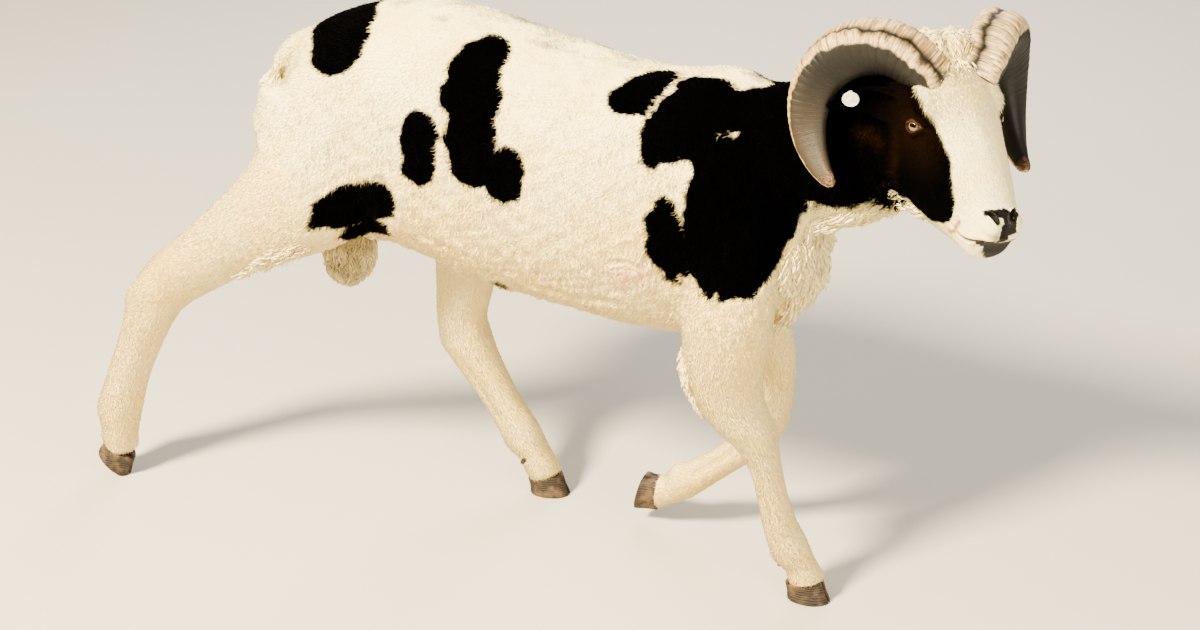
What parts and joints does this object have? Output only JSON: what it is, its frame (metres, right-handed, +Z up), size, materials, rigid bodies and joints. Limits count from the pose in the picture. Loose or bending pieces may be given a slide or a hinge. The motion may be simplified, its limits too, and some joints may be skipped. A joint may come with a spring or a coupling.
{
  "type": "jacob sheep",
  "caption": "Life-size still model of a horned piebald Jacob ram, shorn, in a walking stride, with curled horns and a plain button ear tag.",
  "frame": {"origin": "centre of the bounding box on the floor, under the belly", "axes": "+X forward along the body, +Y to the animal's left, +Z up"},
  "size_m": [1.3226, 0.364, 0.7998],
  "materials": {
    "wool_white": "short cream-white fleece with black patches",
    "wool_black": "short matt black wool and hair",
    "face_hair": "short smooth face hair, white blaze and black cheeks",
    "leg_hair": "short cream hair on the legs",
    "horn_keratin": "ridged horn, cream in front and grey-brown at the side",
    "claw_keratin": "dull dark claw horn",
    "eye_gloss": "wet amber eye with a dark slot pupil",
    "tag_plastic": "plain white button tag, blank"
  },
  "bodies": {
    "root": {"torso": "wool_white", "neck": "wool_black", "head": "face_hair", "tail": "wool_white", "scrotum": "wool_white", "ear_left": "wool_black", "ear_right": "wool_black", "ear_tag": "tag_plastic", "eye_left": "eye_gloss", "eye_right": "eye_gloss", "horn_left": "horn_keratin", "horn_right": "horn_keratin", "foreleg_right_upper": "leg_hair", "foreleg_right_lower": "leg_hair", "foreleg_left_upper": "leg_hair", "foreleg_left_lower": "leg_hair", "hindleg_right_upper": "leg_hair", "hindleg_right_lower": "leg_hair", "hindleg_left_upper": "leg_hair", "hindleg_left_lower": "leg_hair", "fore_right_claw_left": "claw_keratin", "fore_right_claw_right": "claw_keratin", "fore_left_claw_left": "claw_keratin", "fore_left_claw_right": "claw_keratin", "hind_right_claw_left": "claw_keratin", "hind_right_claw_right": "claw_keratin", "hind_left_claw_left": "claw_keratin", "hind_left_claw_right": "claw_keratin"}
  },
  "joints": []
}
